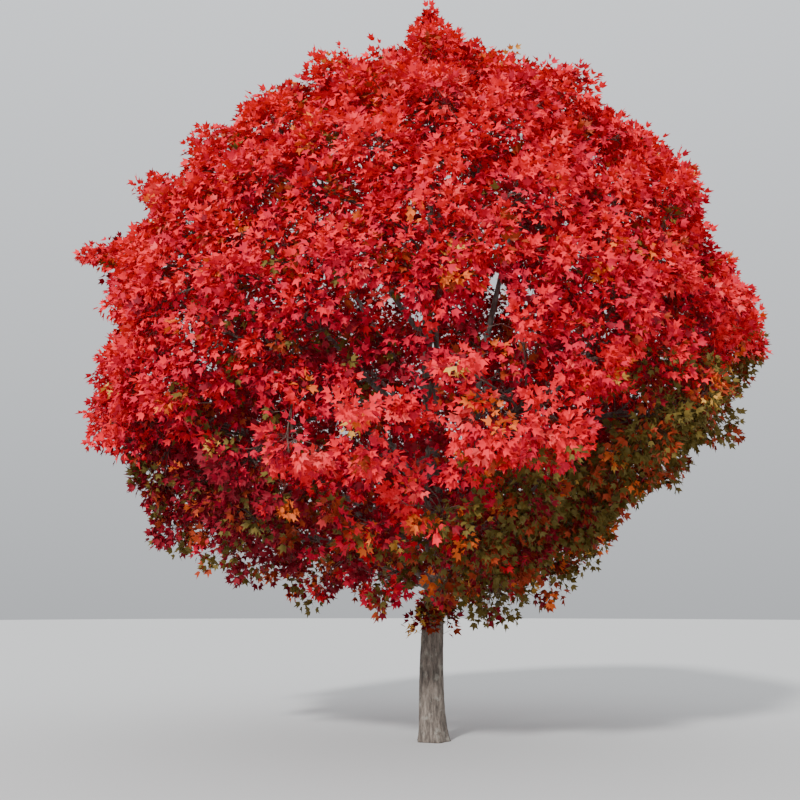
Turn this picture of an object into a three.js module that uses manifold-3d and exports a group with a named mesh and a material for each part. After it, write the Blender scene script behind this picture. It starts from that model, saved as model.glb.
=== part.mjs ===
// A red maple in full autumn leaf, at its real size, in millimetres and +Z up.
// The origin is the centre of the flat cut under the trunk. The tree's left is -X and its front is -Y.
//
// The trunk runs from the ground to its tip, with a second stem that forks off to the right. Boughs leave
// both in four tiers, and each ends where it enters the space of its own mass of foliage. The crown is dense,
// so a mass is a stem that goes on from the bough's tip into a flattened core, with twigs that stand out of
// the core and three lobed blades on each twig. One blade stands for a spray of real leaves.

import * as THREE from "three";
import { mergeVertices } from "three/addons/utils/BufferGeometryUtils.js";
import Module from "manifold-3d";

const wasm = await Module();
wasm.setup();

const UP = new THREE.Vector3(0, 0, 1);
const GOLDEN_ANGLE = Math.PI * (3 - Math.sqrt(5));
const degrees = THREE.MathUtils.degToRad;

// The crown's reach from its axis, on the left and on the right, from its skirt to its top
const CROWN_PROFILE = [
  { height: 1300, left: 800, right: 480 },
  { height: 1600, left: 1750, right: 1400 },
  { height: 2250, left: 3050, right: 2100 },
  { height: 2900, left: 3550, right: 2650 },
  { height: 3400, left: 3850, right: 3300 },
  { height: 4600, left: 3850, right: 3800 },
  { height: 5800, left: 3600, right: 3350 },
  { height: 7000, left: 2700, right: 2550 },
  { height: 8000, left: 1400, right: 1250 },
  { height: 8480, left: 420, right: 420 },
  { height: 9100, left: 60, right: 60 },
];
const CROWN_MIDDLE = 3600;
const CROWN_BEND = 3300; // radius of the curve of its surface
const CROWN_LOW = CROWN_PROFILE[0].height;
const CROWN_TOP = CROWN_PROFILE.at(-1).height;

// Spurs of foliage that stand out of the round crown: where, how far, and how wide
const SPURS = [
  { azimuth: 180, height: 5750, extra: 750, width: 480 },
  { azimuth: 184, height: 6600, extra: 680, width: 440 },
  { azimuth: 0, height: 5650, extra: 420, width: 360 },
  { azimuth: 176, height: 3900, extra: 450, width: 600 },
  { azimuth: 2, height: 4500, extra: 350, width: 650 },
];

// Open places in the crown's front, which twigs and blades keep out of
const HOLLOWS = [
  { x: -420, y: -3300, z: 3690, radius: 260 },
  { x: 510, y: -3300, z: 3760, radius: 200 },
  { x: -1210, y: -3100, z: 3700, radius: 180 },
];

// Trunk
const TRUNK_TIP_HEIGHT = 6700;
const TRUNK_BOTTOM_RADIUS = 155;
const TRUNK_TIP_RADIUS = 26;
const FLARE_RADIUS = 28; // added at the ground, fading upwards
const FLARE_HEIGHT = 170;
const ROOT_RIDGES = 5;
const RIDGE_DEPTH = 0.1; // share of the radius, at the ground
const TRUNK_SIDES = 15;
const TRUNK_STEPS = 13;
const TRUNK_STEP_GROWTH = 1.9; // above 1, so that the steps are closer together near the ground
const TRUNK_SWAY = 45; // how far the axis bows from the upright
const FORK_HEIGHT = 2050;

// Limbs
const LIMB_SIDES = 5;
const LIMB_STEPS = 4;
const STEM_STEPS = 3; // in the stem that goes on from a bough into its mass
const STEM_NECK = 80; // length of that stem before it bends
const LIMB_CLEARANCE = 0.4; // between limbs that meet, 0.3 at the flats of their sides
const STEM_RADIUS = 66; // the second stem, where it leaves the trunk
const STEM_TIP_RADIUS = 24;
const BOUGH_RADIUS = 46;
const BOUGH_SHARE = 0.62; // a bough's radius at its foot, at most, as a share of its carrier's there
const TIP_RADIUS = 20;
const BOUGH_SAG = 0.07; // how far a bough's middle lies off its chord, as a share of its length
const BOUGH_SWAY = 0.07;
const LEAST_EDGE = 0.05; // shortest edge that a joint may leave
const SPACE_MARGIN = 25; // from twigs and blades to the edge of their mass's space
const BOUGH_ENTRY = 100; // how far a bough's tip is inside its mass's space, at least
const LEAST_BOUGH = 0.35; // share of the way to its mass's centre that a bough has at least

// Tiers of masses: height of their centres, how many, where the first one is, how far out as a share of the
// crown's reach, how steeply their boughs rise, and the step in height between their boughs' feet
const TIERS = [
  { name: "skirt", height: 2380, count: 5, start: 52, share: 0.6, slope: 18, step: 60 },
  { name: "wide", height: 3550, count: 8, start: 14, share: 0.66, slope: 25, step: 60 },
  { name: "middle", height: 4950, count: 7, start: 12, share: 0.66, slope: 34, step: 110 },
  { name: "upper", height: 6350, count: 5, start: 6, share: 0.58, slope: 48, step: 150 },
];
const TOP_CENTRE = new THREE.Vector3(0, 0, 7550); // the mass that crowns the trunk's tip
const ON_STEM_TIP = "upper_1"; // the mass that crowns the second stem

// Cores of the masses
const CORE_RADIUS = 1700;
const CORE_LEAST_RADIUS = 200;
const CORE_HALF_THICKNESS = 140;
const CORE_SIDES = 14;
const CORE_NOTCH = 0.93; // every second corner of its rim, as a share of the way to it
const CORE_RING = 0.6; // place of the ring on its outer side, as a share of the way to the rim
const CORE_RING_RISE = 0.7; // height of that ring, as a share of the half thickness
const CORE_DEPTH = 520; // of a core's middle under the crown's surface
const CORE_MARGIN = 25; // from a core's rim to the edge of its mass's space
const CORE_COVER = 300; // from a core's rim to the crown's surface

// Twigs that stand out of the cores
const TWIG_COUNT = 86; // tried over the whole crown
const TWIG_RADIUS = 16;
const TWIG_TIP_RADIUS = 11;
const TWIG_SIDES = 3;
const TWIG_DEPTH = 300; // of a twig's tip under the crown's surface
const SPUR_TWIG_DEPTH = 530; // the same for the twigs that run out into the spurs and up into the peak

// Blades, each for a spray of leaves
const BLADES_ON_TWIG = 3;
const BLADES_ON_CORE = 10;
const BLADE_LENGTH = 780;
const BLADE_THICKNESS = 24;
const BLADE_SPACING = 50; // between the feet of a twig's blades
const BLADE_SINK = 70; // how deep the foot of a blade on the core is sunk in it
const BLADE_SIZES = [1, 0.85, 0.7, 0.55]; // tried in turn until one fits its space
const BLADE_TURNS = [0, 0.4, -0.4, 0.8, -0.8, 1.3, -1.3]; // ways round that are tried for each size
const BLADE_GAP = 4; // least distance from a blade to other blades, limbs and the core

// Half of a blade's outline, from its foot to its tip, as shares of its length: a side lobe and a notch
const BLADE_OUTLINE = [
  [0, 0],
  [0.47, 0.48],
  [0.66, 0.22],
  [1, 0],
];
const BLADE_HEART = 0.25; // where the blade is thickest
const BLADE_DROOP = 0.1; // how far the side lobes hang, as a share of the blade's length
const BLADE_LIFT = 0.3; // how far a blade on a twig stands up from the crown's surface
const CORE_BLADE_LIFT = 0.55; // the same for a blade on the core

const BARK_GREY = 0x8c8078;
const LEAF_TINTS = [0xb5121b, 0xc8202a, 0xa00f16, 0xd63a2c];

// A repeatable stream of numbers from 0 to 1: the minimal standard generator.
function dice(seed) {
  const MODULUS = 2147483647;
  let state = (seed * 7919 + 12345) % MODULUS;
  const roll = () => {
    state = (state * 48271) % MODULUS;
    return state / MODULUS;
  };
  return { roll, between: (low, high) => low + (high - low) * roll() };
}

const polar = (radius, azimuth, height) =>
  new THREE.Vector3(radius * Math.cos(azimuth), radius * Math.sin(azimuth), height);

// How far the crown reaches from its axis at a height, towards an azimuth.
function crownReach(height, azimuth) {
  if (height <= CROWN_LOW || height >= CROWN_TOP) return 0;
  const above = CROWN_PROFILE.findIndex((station) => station.height > height);
  const [low, high] = [CROWN_PROFILE[above - 1], CROWN_PROFILE[above]];
  const share = (height - low.height) / (high.height - low.height);
  const left = THREE.MathUtils.lerp(low.left, high.left, share);
  const right = THREE.MathUtils.lerp(low.right, high.right, share);
  const round = THREE.MathUtils.lerp(left, right, (1 + Math.cos(azimuth)) / 2);
  const extras = SPURS.map((spur) => {
    const turn = azimuth - degrees(spur.azimuth);
    const across = 2 * Math.sin(turn / 2) * round;
    const distance = Math.hypot(across, height - spur.height) / spur.width;
    return spur.extra * Math.exp(-distance * distance);
  });
  return round + Math.max(...extras);
}

const inHollow = (point) =>
  HOLLOWS.some((hollow) => point.distanceTo(new THREE.Vector3(hollow.x, hollow.y, hollow.z)) < hollow.radius);

const underSurface = (point) =>
  Math.hypot(point.x, point.y) <= crownReach(point.z, Math.atan2(point.y, point.x));

const inCrown = (point) => underSurface(point) && !inHollow(point);

// The outward direction of the crown's surface near a point, from the slope of its reach.
function outward(point) {
  const step = 60;
  const azimuth = Math.atan2(point.y, point.x);
  const height = THREE.MathUtils.clamp(point.z, CROWN_LOW + 2 * step, CROWN_TOP - 2 * step);
  const slope = (crownReach(height + step, azimuth) - crownReach(height - step, azimuth)) / (2 * step);
  return polar(1, azimuth, -slope).normalize();
}

// A closed solid from a geometry, whose shared vertices are merged.
function toSolid(geometry) {
  const bare = geometry.clone();
  bare.deleteAttribute("normal");
  bare.deleteAttribute("uv");
  const merged = mergeVertices(bare, 1e-3);
  return new wasm.Manifold(
    new wasm.Mesh({
      numProp: 3,
      vertProperties: merged.getAttribute("position").array,
      triVerts: new Uint32Array(merged.index.array),
    }),
  );
}

// A named mesh from a solid.
function toMesh(name, solid, material) {
  const { vertProperties, triVerts } = solid.getMesh();
  const geometry = new THREE.BufferGeometry();
  geometry.setAttribute("position", new THREE.BufferAttribute(vertProperties, 3));
  geometry.setIndex(new THREE.BufferAttribute(triVerts, 1));
  geometry.computeVertexNormals();
  const mesh = new THREE.Mesh(geometry, material);
  mesh.name = name;
  return mesh;
}

// A limb: a cylinder bent through points, that tapers from one radius to another.
function limb(points, radius, tipRadius, sides) {
  const steps = points.length - 1;
  const geometry = new THREE.CylinderGeometry(1, 1, 1, sides, steps);
  const position = geometry.getAttribute("position");
  const chord = new THREE.Vector3().subVectors(points[steps], points[0]).normalize();
  const beside = Math.abs(chord.z) > 0.9 ? new THREE.Vector3(1, 0, 0) : UP;
  const vertex = new THREE.Vector3();
  for (let i = 0; i < position.count; i += 1) {
    vertex.fromBufferAttribute(position, i);
    const step = Math.round((vertex.y + 0.5) * steps);
    const [before, after] = [points[Math.max(0, step - 1)], points[Math.min(steps, step + 1)]];
    const along = new THREE.Vector3().subVectors(after, before).normalize();
    const across = new THREE.Vector3().crossVectors(beside, along).normalize();
    const other = new THREE.Vector3().crossVectors(along, across);
    const thickness = THREE.MathUtils.lerp(radius, tipRadius, step / steps);
    const placed = points[step]
      .clone()
      .addScaledVector(across, vertex.x * thickness)
      .addScaledVector(other, -vertex.z * thickness);
    position.setXYZ(i, placed.x, placed.y, placed.z);
  }
  return toSolid(geometry);
}

const endDirection = (points) => new THREE.Vector3().subVectors(points.at(-1), points.at(-2)).normalize();

// The biggest part of a solid, without any loose scraps.
const largestBody = (solid) =>
  solid.decompose().reduce((best, body) => (body.volume() > best.volume() ? body : best));

// The trunk's axis bows a little to the left, leans to the right at the fork, and sways back above it.
const trunkAxis = new THREE.CatmullRomCurve3([
  new THREE.Vector3(0, 0, 0),
  new THREE.Vector3(-TRUNK_SWAY / 3, 0, 700),
  new THREE.Vector3(TRUNK_SWAY, TRUNK_SWAY / 2, FORK_HEIGHT + 400),
  new THREE.Vector3(-TRUNK_SWAY, -TRUNK_SWAY, 4600),
  new THREE.Vector3(TRUNK_SWAY / 2, 0, TRUNK_TIP_HEIGHT),
]);

// The point of a rising curve that lies at a height.
function pointAtHeight(curve, height) {
  let [low, high] = [0, 1];
  for (let i = 0; i < 24; i += 1) {
    const middle = (low + high) / 2;
    if (curve.getPointAt(middle).z < height) low = middle;
    else high = middle;
  }
  return curve.getPointAt(low);
}

// The trunk's radius: a taper, a flare at the ground and ridges that run into the roots.
function trunkRadius(share, angle) {
  const height = share * TRUNK_TIP_HEIGHT;
  const flare = Math.exp(-height / FLARE_HEIGHT);
  const ridges = 1 + RIDGE_DEPTH * flare * Math.cos(ROOT_RIDGES * angle);
  const plain = THREE.MathUtils.lerp(TRUNK_BOTTOM_RADIUS, TRUNK_TIP_RADIUS, Math.pow(share, 0.85));
  return (plain + FLARE_RADIUS * flare) * ridges;
}

// The trunk, cut flat at the ground.
function makeTrunk(extra = 0) {
  const geometry = new THREE.CylinderGeometry(1, 1, 1, TRUNK_SIDES, TRUNK_STEPS);
  const position = geometry.getAttribute("position");
  const vertex = new THREE.Vector3();
  for (let i = 0; i < position.count; i += 1) {
    vertex.fromBufferAttribute(position, i);
    const share = Math.pow(vertex.y + 0.5, TRUNK_STEP_GROWTH);
    const centre = pointAtHeight(trunkAxis, share * TRUNK_TIP_HEIGHT);
    const radius = trunkRadius(share, Math.atan2(vertex.z, vertex.x)) + extra;
    const height = share * TRUNK_TIP_HEIGHT;
    position.setXYZ(i, centre.x + vertex.x * radius, centre.y - vertex.z * radius, height);
  }
  return toSolid(geometry);
}

// The second stem leaves the trunk at the fork, swings out to the right and then climbs beside it.
const stemAxis = new THREE.CatmullRomCurve3([
  pointAtHeight(trunkAxis, FORK_HEIGHT),
  new THREE.Vector3(330, -60, FORK_HEIGHT + 700),
  new THREE.Vector3(600, 20, 4300),
  new THREE.Vector3(950, 40, 5850),
]);

// Every mass of foliage, with its centre, its name and the tier that sets its bough. One more crowns the tree.
function placeMasses() {
  const masses = TIERS.flatMap((tier, tierNumber) =>
    Array.from({ length: tier.count }, (_, i) => {
      const chance = dice(100 * (tierNumber + 1) + i);
      const azimuth = degrees(tier.start + (360 * i) / tier.count + chance.between(-6, 6));
      const height = tier.height + chance.between(-130, 130);
      const centre = polar(tier.share * crownReach(height, azimuth), azimuth, height);
      const footShift = (((i * 3) % tier.count) - (tier.count - 1) / 2) * tier.step;
      return { name: `${tier.name}_${i + 1}`, tier, azimuth, centre, footShift };
    }),
  );
  masses.push({ name: "top", centre: TOP_CENTRE });
  return masses;
}

const masses = placeMasses();

// How far a point lies on a mass's side of the plane half way to another mass.
const marginTo = (mass, other, point) =>
  (point.distanceToSquared(other.centre) - point.distanceToSquared(mass.centre)) /
  (2 * other.centre.distanceTo(mass.centre));

// Whether a point is in a mass's own space: nearer its centre than any other, with a margin.
const inSpace = (mass, point, margin = SPACE_MARGIN) =>
  masses.every((other) => other === mass || marginTo(mass, other, point) >= margin);

// A bough's foot, on the trunk or on the second stem, whichever serves that side of the crown.
function findFoot(mass) {
  const onStem = mass.tier.height > FORK_HEIGHT + 2000 && Math.cos(mass.azimuth) > 0.35;
  const carrier = onStem ? carriers.second_stem : carriers.trunk;
  const out = Math.hypot(mass.centre.x - (onStem ? 500 : 0), mass.centre.y);
  const height = mass.centre.z - out * Math.tan(degrees(mass.tier.slope)) + mass.footShift;
  return { foot: pointAtHeight(carrier.axis, height), thickness: carrier.radiusAt(height) };
}

// A bough: one tapering limb from its foot to the point where it enters its mass.
function makeBough(mass, chance) {
  const { foot, thickness } = findFoot(mass);
  let share = LEAST_BOUGH;
  while (share < 0.9 && !inSpace(mass, foot.clone().lerp(mass.centre, share), BOUGH_ENTRY)) share += 0.02;
  const tip = foot.clone().lerp(mass.centre, share);
  const length = foot.distanceTo(tip);
  const across = new THREE.Vector3().subVectors(tip, foot).cross(UP).normalize();
  const middle = foot
    .clone()
    .lerp(tip, 0.5)
    .addScaledVector(UP, -2 * BOUGH_SAG * length)
    .addScaledVector(across, 2 * chance.between(-BOUGH_SWAY, BOUGH_SWAY) * length);
  const curve = new THREE.QuadraticBezierCurve3(foot, middle, tip);
  const radius = Math.min(BOUGH_RADIUS, BOUGH_SHARE * thickness);
  const points = curve.getSpacedPoints(LIMB_STEPS);
  const whole = limb(points, radius, TIP_RADIUS, LIMB_SIDES);
  mass.start = tip;
  mass.heading = endDirection(points);
  return largestBody(whole.subtract(carriers.trunk.cutter).subtract(carriers.second_stem.cutter));
}

// A blade: flat and lobed, thickest near its foot, with its side lobes hanging. It lies along one direction,
// and its upper face looks along another.
function makeBlade(foot, along, face, length) {
  const across = new THREE.Vector3().crossVectors(face, along).normalize();
  const top = new THREE.Vector3().crossVectors(along, across);
  const place = (u, v, w) =>
    foot
      .clone()
      .addScaledVector(along, u * length)
      .addScaledVector(across, v * length)
      .addScaledVector(top, w * length);
  const leftSide = BLADE_OUTLINE.slice(1, -1).reverse();
  const outline = [...BLADE_OUTLINE, ...leftSide.map(([u, v]) => [u, -v])];
  const rim = outline.map(([u, v]) => place(u, v, -BLADE_DROOP * Math.abs(v)));
  const half = BLADE_THICKNESS / 2 / length;
  const [upper, lower] = [rim.length, rim.length + 1];
  const faces = rim.flatMap((_, i) => {
    const next = (i + 1) % rim.length;
    return [next, i, upper, i, next, lower];
  });
  const hearts = [place(BLADE_HEART, 0, half), place(BLADE_HEART, 0, -half)];
  const geometry = new THREE.BufferGeometry().setFromPoints([...rim, ...hearts]);
  geometry.setIndex(faces);
  return { solid: toSolid(geometry), rim };
}

// The height under which a share of the crown's surface lies.
function heightAtShare(share) {
  const step = 25;
  const bands = [];
  for (let height = CROWN_LOW; height < CROWN_TOP; height += step) {
    const [reach, next] = [crownReach(height + 1, 0.5 * Math.PI), crownReach(height + step, 0.5 * Math.PI)];
    bands.push(reach * Math.hypot(step, next - reach));
  }
  const total = bands.reduce((sum, band) => sum + band, 0);
  let sum = 0;
  const found = bands.findIndex((band) => (sum += band) >= share * total);
  return CROWN_LOW + (found + 0.5) * step;
}

// A place for a twig's tip: a depth under the crown's surface, with the outward direction there.
function tipUnder(height, azimuth, depth) {
  const surface = polar(crownReach(height, azimuth), azimuth, height);
  const out = outward(surface);
  return { tip: surface.addScaledVector(out, -depth), out };
}

// Places for the twigs' tips: one in each spur, one at the crown's peak, and the others spread evenly under its
// surface. Each is dealt to the nearest mass.
function placeTwigTips() {
  const chance = dice(31);
  const places = SPURS.map((spur) => tipUnder(spur.height, degrees(spur.azimuth), SPUR_TWIG_DEPTH));
  places.push({
    tip: new THREE.Vector3(0, 0, CROWN_TOP - SPUR_TWIG_DEPTH),
    out: new THREE.Vector3(0, -1, 0),
  });
  for (let i = 0; i < TWIG_COUNT; i += 1) {
    const azimuth = i * GOLDEN_ANGLE + chance.between(-0.05, 0.05);
    const depth = TWIG_DEPTH * chance.between(0.8, 1.6);
    places.push(tipUnder(heightAtShare((i + 0.5) / TWIG_COUNT), azimuth, depth));
  }
  for (const mass of masses) mass.tips = [];
  for (const place of places.filter(({ tip }) => !inHollow(tip))) {
    const distance = (mass) => place.tip.distanceTo(mass.centre);
    masses.reduce((a, b) => (distance(b) < distance(a) ? b : a)).tips.push(place);
  }
}

// The middle of a mass's core, the way that its flat outer side looks, and a way across it.
function placeCore(mass, depth) {
  const aside = mass.centre.clone().setZ(mass.centre.z - CROWN_MIDDLE).normalize();
  const out = outward(mass.centre).add(aside).normalize();
  const middle = mass.centre.clone();
  while (inCrown(middle.clone().addScaledVector(out, depth))) middle.addScaledVector(out, 20);
  return { middle, out, across: new THREE.Vector3().crossVectors(out, UP).normalize() };
}

// A point of a core: an angle round its middle, a share of the way to its rim, and a share of its thickness.
// The core is bent like the crown's surface, and its rim stays in the mass's space and under the surface.
function corePoint(mass, angle, share, rise) {
  const { middle, out, across } = mass.core;
  const side = across.clone().applyAxisAngle(out, angle);
  const bent = (distance) => {
    const drop = (distance * distance) / (2 * CROWN_BEND);
    return middle.clone().addScaledVector(side, distance).addScaledVector(out, -drop);
  };
  const fits = (point) =>
    inSpace(mass, point, CORE_MARGIN) && underSurface(point.addScaledVector(outward(point), CORE_COVER));
  let rim = CORE_RADIUS;
  while (rim > CORE_LEAST_RADIUS && !fits(bent(rim))) rim -= 25;
  return bent(share * rim).addScaledVector(out, rise * CORE_HALF_THICKNESS);
}

// A core: a rim, a ring on its outer side, and a point in the middle of each side.
function makeCore(mass) {
  const angles = Array.from({ length: CORE_SIDES }, (_, i) => (2 * Math.PI * i) / CORE_SIDES);
  const points = [
    ...angles.map((angle, i) => corePoint(mass, angle, i % 2 ? CORE_NOTCH : 1, 0)),
    ...angles.map((angle) => corePoint(mass, angle, CORE_RING, CORE_RING_RISE)),
    corePoint(mass, 0, 0, 1),
    corePoint(mass, 0, 0, -1),
  ];
  const [outer, inner] = [points.length - 2, points.length - 1];
  const faces = angles.flatMap((_, i) => {
    const next = (i + 1) % CORE_SIDES;
    const [ring, ringNext] = [i + CORE_SIDES, next + CORE_SIDES];
    return [i, next, ring, next, ringNext, ring, ring, ringNext, outer, next, i, inner];
  });
  const geometry = new THREE.BufferGeometry().setFromPoints(points);
  geometry.setIndex(faces);
  return toSolid(geometry);
}

const clearOf = (solid, others) => others.every((other) => solid.minGap(other, BLADE_GAP) >= BLADE_GAP);

// The length of a solid's shortest edge.
function shortestEdge(solid) {
  const { vertProperties, triVerts } = solid.getMesh();
  const [a, b] = [new THREE.Vector3(), new THREE.Vector3()];
  return triVerts.reduce((shortest, vertex, i) => {
    const next = triVerts[i % 3 === 2 ? i - 2 : i + 1];
    const length = a.fromArray(vertProperties, 3 * vertex).distanceTo(b.fromArray(vertProperties, 3 * next));
    return Math.min(shortest, length);
  }, Infinity);
}

const isSound = (solid) => solid.decompose().length === 1 && shortestEdge(solid) > LEAST_EDGE;

// Fuses a piece to a mass's body, unless it would hang loose or leave a sliver at its joint.
function graft(mass, piece) {
  const grown = mass.body.add(piece);
  if (!isSound(grown)) return false;
  mass.body = grown;
  return true;
}

// A mass's stem and core in one, with the stem's end made a little thicker until they join soundly.
function makeHeartwood(stem, core) {
  let end = TWIG_RADIUS;
  let body = null;
  do {
    body = limb(stem, TIP_RADIUS - 2, end, TWIG_SIDES).add(core);
    end += 0.5;
  } while (!isSound(body));
  return body;
}

// A blade at a foot, leaning one way and looking outwards: the first size and turn that keep it in the crown
// and in its mass's space, well joined, and clear of the limbs and of the blades that are there already.
function fitBlade(mass, foot, lean, out, obstacles) {
  for (const size of BLADE_SIZES) {
    for (const turn of BLADE_TURNS) {
      const along = lean.clone().applyAxisAngle(out, turn);
      const blade = makeBlade(foot, along, out, BLADE_LENGTH * size);
      const fits = blade.rim.slice(1).every((point) => inSpace(mass, point) && inCrown(point));
      if (fits && clearOf(blade.solid, obstacles) && graft(mass, blade.solid)) return [blade.solid];
    }
  }
  return [];
}

// The blades of a twig: one that goes on from its tip, and the others to its sides.
function bladesOnTwig(mass, foot, tip, face, chance, obstacles) {
  const ahead = new THREE.Vector3().subVectors(tip, foot).normalize();
  const side = new THREE.Vector3().crossVectors(ahead, face).normalize();
  const first = chance.between(0, Math.PI);
  const blades = [];
  for (let i = 0; i < BLADES_ON_TWIG; i += 1) {
    const root = tip.clone().addScaledVector(ahead, -(i + 0.5) * BLADE_SPACING);
    const around = side.clone().applyAxisAngle(face, first + (2 * Math.PI * i) / (BLADES_ON_TWIG - 1));
    const lean = i === 0 ? ahead : around.addScaledVector(face, BLADE_LIFT * chance.between(0.2, 1.8));
    const looks = i === 0 ? side.clone().cross(ahead) : face;
    blades.push(...fitBlade(mass, root, lean.normalize(), looks, [...obstacles, ...blades]));
  }
  return blades;
}

// Blades that stand straight out of the core, in a spiral from its rim to the middle of its outer side.
function bladesOnCore(mass, chance, obstacles) {
  const { middle } = mass.core;
  const blades = [];
  for (let i = 0; i < BLADES_ON_CORE; i += 1) {
    const share = 0.96 - 0.8 * Math.pow(i / BLADES_ON_CORE, 1.4);
    const edge = corePoint(mass, i * GOLDEN_ANGLE, share, Math.min(1, 1.6 * (1 - share)));
    const face = outward(edge);
    const lean = edge.clone().sub(middle);
    lean.addScaledVector(face, -lean.dot(face)).normalize();
    lean.addScaledVector(face, CORE_BLADE_LIFT * chance.between(0.6, 1.4)).normalize();
    const foot = edge.addScaledVector(lean, -BLADE_SINK).addScaledVector(face, -0.3 * BLADE_SINK);
    blades.push(...fitBlade(mass, foot, lean, face, [...obstacles, ...blades]));
  }
  return blades;
}

// A mass: its stem, core, twigs and blades, fused into one solid. A twig goes along inside the core from the
// stem's end, and stands out of it below its tip.
function makeMass(mass, number, start, heading, limbs) {
  const chance = dice(1000 + number);
  mass.core = placeCore(mass, CORE_DEPTH * chance.between(0.85, 1.4));
  const { middle, out } = mass.core;
  const root = start.clone().addScaledVector(heading, LIMB_CLEARANCE);
  const neck = root.clone().addScaledVector(heading, STEM_NECK);
  const knee = root.clone().addScaledVector(heading, root.distanceTo(middle) * 0.4);
  const bent = new THREE.QuadraticBezierCurve3(neck, knee, middle).getSpacedPoints(STEM_STEPS);
  const stem = [root, ...bent];
  const core = makeCore(mass);
  mass.body = makeHeartwood(stem, core);
  const twigs = [];
  const blades = [];
  for (const { tip, out: face } of mass.tips) {
    const aside = tip.clone().sub(middle);
    aside.addScaledVector(out, -aside.dot(out)).multiplyScalar(0.75);
    const foot = middle.clone().add(aside).addScaledVector(out, -aside.lengthSq() / (2 * CROWN_BEND));
    const twig = limb([middle, foot, tip], TWIG_RADIUS, TWIG_TIP_RADIUS, TWIG_SIDES);
    const fits = inSpace(mass, tip) && clearOf(twig, [...limbs, ...blades]);
    if (!fits || !graft(mass, twig)) continue;
    twigs.push(twig);
    blades.push(...bladesOnTwig(mass, foot, tip, face, chance, [...limbs, core, ...blades]));
  }
  blades.push(...bladesOnCore(mass, chance, [...limbs, ...twigs, ...blades]));
  return mass.body;
}

const group = new THREE.Group();
const bark = new THREE.MeshStandardMaterial({ color: BARK_GREY, roughness: 0.95, metalness: 0 });
const foliage = LEAF_TINTS.map(
  (color) => new THREE.MeshStandardMaterial({ color, roughness: 0.7, metalness: 0, flatShading: true }),
);

// The limbs that carry boughs, each with a slightly thicker copy that the boughs are cut clear of
const stemPoints = stemAxis.getSpacedPoints(2 * LIMB_STEPS);
const stemTop = stemPoints.at(-1).z;
const makeStem = (extra = 0) =>
  limb(stemPoints, STEM_RADIUS + extra, STEM_TIP_RADIUS + extra, LIMB_SIDES + 2);
const carriers = {
  trunk: {
    solid: makeTrunk(),
    cutter: makeTrunk(LIMB_CLEARANCE),
    axis: trunkAxis,
    radiusAt: (height) => trunkRadius(height / TRUNK_TIP_HEIGHT, Math.PI / ROOT_RIDGES),
  },
};
carriers.second_stem = {
  solid: largestBody(makeStem().subtract(carriers.trunk.cutter)),
  cutter: makeStem(LIMB_CLEARANCE),
  axis: stemAxis,
  radiusAt: (height) =>
    THREE.MathUtils.mapLinear(height, FORK_HEIGHT, stemTop, STEM_RADIUS, STEM_TIP_RADIUS),
};

const limbs = [];
for (const [name, carrier] of Object.entries(carriers)) {
  limbs.push(carrier.solid);
  group.add(toMesh(name, carrier.solid, bark));
}
masses.forEach((mass, number) => {
  if (!mass.tier || mass.name === ON_STEM_TIP) return;
  const solid = makeBough(mass, dice(500 + number));
  limbs.push(solid);
  group.add(toMesh(`bough_${mass.name}`, solid, bark));
});

placeTwigTips();
masses.forEach((mass, number) => {
  const onStem = mass.name === ON_STEM_TIP;
  const start = mass.start ?? (onStem ? stemPoints.at(-1) : trunkAxis.getPointAt(1));
  const heading = mass.heading ?? (onStem ? endDirection(stemPoints) : UP);
  const solid = makeMass(mass, number, start, heading, limbs);
  group.add(toMesh(`foliage_${mass.name}`, solid, foliage[number % foliage.length]));
});

export default group;
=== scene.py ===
import math

import bmesh
import bpy
import numpy as np
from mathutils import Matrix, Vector, kdtree, noise


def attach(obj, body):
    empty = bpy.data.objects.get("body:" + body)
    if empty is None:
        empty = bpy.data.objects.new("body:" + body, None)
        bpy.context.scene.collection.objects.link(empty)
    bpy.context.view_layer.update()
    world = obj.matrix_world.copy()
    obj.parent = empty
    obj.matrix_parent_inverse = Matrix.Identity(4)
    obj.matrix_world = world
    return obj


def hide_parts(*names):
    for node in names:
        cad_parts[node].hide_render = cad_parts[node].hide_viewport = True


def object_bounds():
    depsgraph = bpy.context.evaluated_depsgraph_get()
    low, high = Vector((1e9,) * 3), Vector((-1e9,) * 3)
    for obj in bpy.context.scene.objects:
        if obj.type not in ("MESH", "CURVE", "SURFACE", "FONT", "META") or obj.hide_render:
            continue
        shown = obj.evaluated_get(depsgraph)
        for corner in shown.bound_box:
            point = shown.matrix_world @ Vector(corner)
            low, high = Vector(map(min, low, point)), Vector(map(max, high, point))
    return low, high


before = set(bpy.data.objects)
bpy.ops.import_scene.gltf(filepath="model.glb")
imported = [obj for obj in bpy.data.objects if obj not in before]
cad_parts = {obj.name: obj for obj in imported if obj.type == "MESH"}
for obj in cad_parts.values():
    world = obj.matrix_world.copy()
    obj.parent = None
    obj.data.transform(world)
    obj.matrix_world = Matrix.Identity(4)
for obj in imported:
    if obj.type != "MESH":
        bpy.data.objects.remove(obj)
solid_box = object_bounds()

# Lengths are in metres. Azimuths count from the right, and in the tables they and the slopes are in degrees.
UP = np.array([0.0, 0.0, 1.0])
GOLDEN_ANGLE = math.pi * (3 - math.sqrt(5))
FRONT, BACK = math.radians(-90), math.radians(90)  # azimuths
TINY = 1e-12
STEEP = 0.9  # the rise of a direction past which it counts as upright
CURVE_STEP = 0.02  # between samples, as a share of the way from point to point
MOST_TRIANGLES = 190000  # in one piece
BATCH = 1000  # places worked out at once, which keeps memory low
MASS_SEED, BOUGH_SEED, CORE_SEED = 100, 500, 1000  # of the dice, as in the solids

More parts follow.
